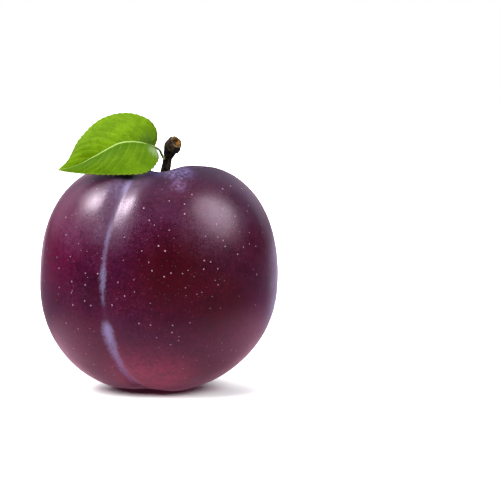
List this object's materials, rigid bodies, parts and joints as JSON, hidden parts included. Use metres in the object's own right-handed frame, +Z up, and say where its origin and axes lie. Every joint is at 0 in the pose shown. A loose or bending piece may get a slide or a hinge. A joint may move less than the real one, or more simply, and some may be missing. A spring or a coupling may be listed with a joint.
{
  "type": "plum",
  "caption": "Dark purple plum with its suture and stem cavity, standing on its own base, with its short woody stem and a green toothed leaf.",
  "frame": {"origin": "on the resting surface, below the middle of the box round the whole part", "axes": "+Z up, from the resting surface towards the stem; +X to the viewer's right and -Y towards the viewer of the picture"},
  "size_m": [0.0598, 0.06, 0.0701],
  "materials": {
    "plum_skin": "smooth waxy dark purple and maroon skin with pale dots and a lilac bloom in the suture",
    "stem_bark": "dark brown rough bark with a broken tan end",
    "leaf_green": "fresh bright green leaf with a pale yellow-green rib"
  },
  "bodies": {
    "root": {"fruit": "plum_skin", "stem": "stem_bark", "leaf": "leaf_green"}
  },
  "joints": []
}
